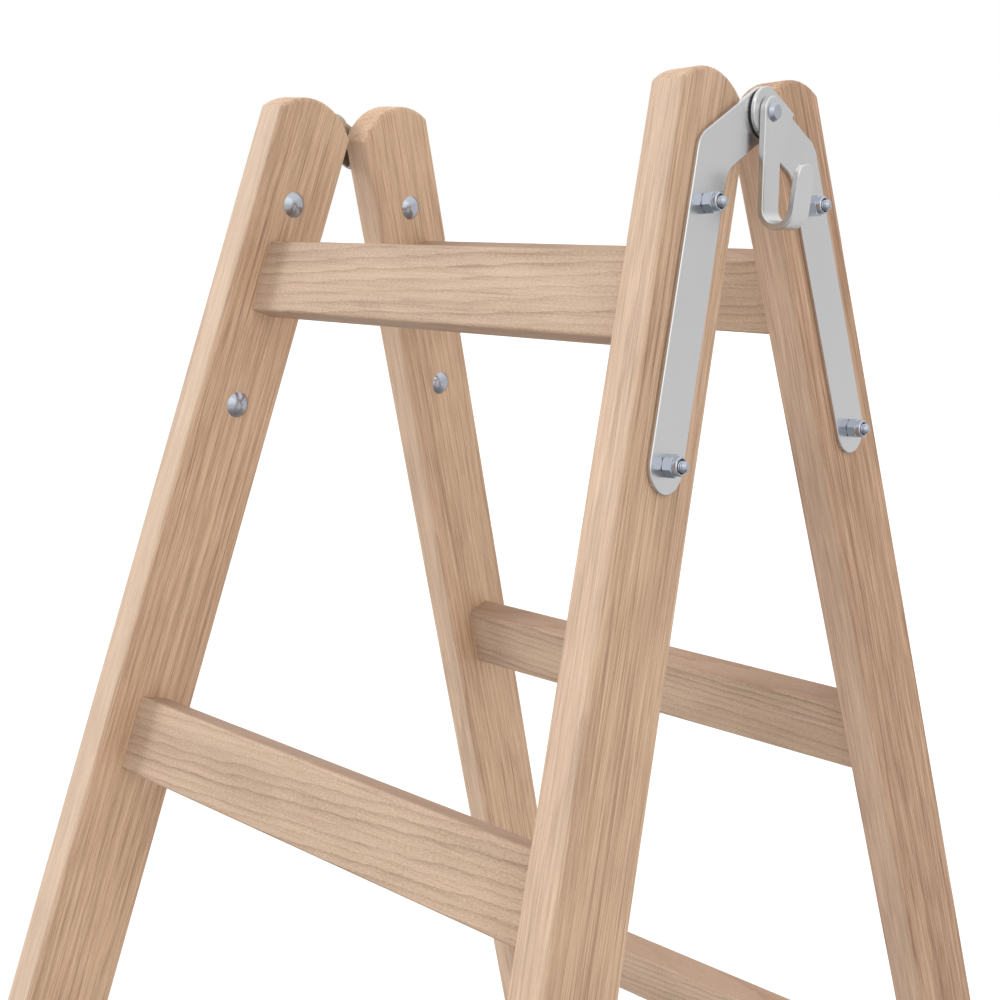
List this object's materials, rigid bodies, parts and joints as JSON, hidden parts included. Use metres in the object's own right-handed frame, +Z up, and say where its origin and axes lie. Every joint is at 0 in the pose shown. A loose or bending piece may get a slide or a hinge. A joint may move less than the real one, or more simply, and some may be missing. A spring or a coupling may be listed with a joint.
{
  "type": "wooden double rung ladder",
  "caption": "Free-standing double ladder of wood: splayed rung frames joined at the top by bolted zinc-plated hinge plates, with a swinging bucket hook on a pivot.",
  "frame": {"origin": "on the floor, midway between the four feet, with the ladder open", "axes": "+X along the rungs, towards the side with the bucket hook; +Y from the front frame to the back frame; +Z up"},
  "size_m": [0.5206, 1.072, 1.4962],
  "materials": {
    "stile_wood": "sanded, unvarnished hardwood",
    "rung_wood": "sanded, unvarnished hardwood",
    "hinge_zinc": "bright zinc plate, satin",
    "fastener_zinc": "bluish zinc plate",
    "pin_zinc": "bright zinc plate, peened end",
    "hook_zinc": "bright zinc plate, satin",
    "washer_plastic": "black plastic",
    "nut_nylon": "dark nylon"
  },
  "bodies": {
    "front_frame": {"front_left_stile": "stile_wood", "front_right_stile": "stile_wood", "front_rung_1": "rung_wood", "front_rung_2": "rung_wood", "front_rung_3": "rung_wood", "front_rung_4": "rung_wood", "front_rung_5": "rung_wood", "front_left_hinge_plate": "hinge_zinc", "front_right_hinge_plate": "hinge_zinc", "front_carriage_bolts": "fastener_zinc", "front_lock_nuts": "fastener_zinc", "front_nut_inserts": "nut_nylon", "left_pivot_washer": "washer_plastic", "left_pivot_pin": "pin_zinc", "right_pivot_washer": "washer_plastic", "right_pivot_pin": "pin_zinc"},
    "back_frame": {"back_left_stile": "stile_wood", "back_right_stile": "stile_wood", "back_rung_1": "rung_wood", "back_rung_2": "rung_wood", "back_rung_3": "rung_wood", "back_rung_4": "rung_wood", "back_rung_5": "rung_wood", "back_left_hinge_plate": "hinge_zinc", "back_right_hinge_plate": "hinge_zinc", "back_carriage_bolts": "fastener_zinc", "back_lock_nuts": "fastener_zinc", "back_nut_inserts": "nut_nylon"},
    "bucket_hook": {"bucket_hook": "hook_zinc"}
  },
  "joints": [
    {"name": "frame_fold", "type": "hinge", "parent": "front_frame", "child": "back_frame", "pos_m": [0, 0, 1.47625], "axis": [-1, 0, 0], "range_deg": [0, 35.2]},
    {"name": "bucket_hook_swing", "type": "hinge", "parent": "front_frame", "child": "bucket_hook", "pos_m": [0.1675, 0, 1.47625], "axis": [1, 0, 0], "continuous": true}
  ]
}
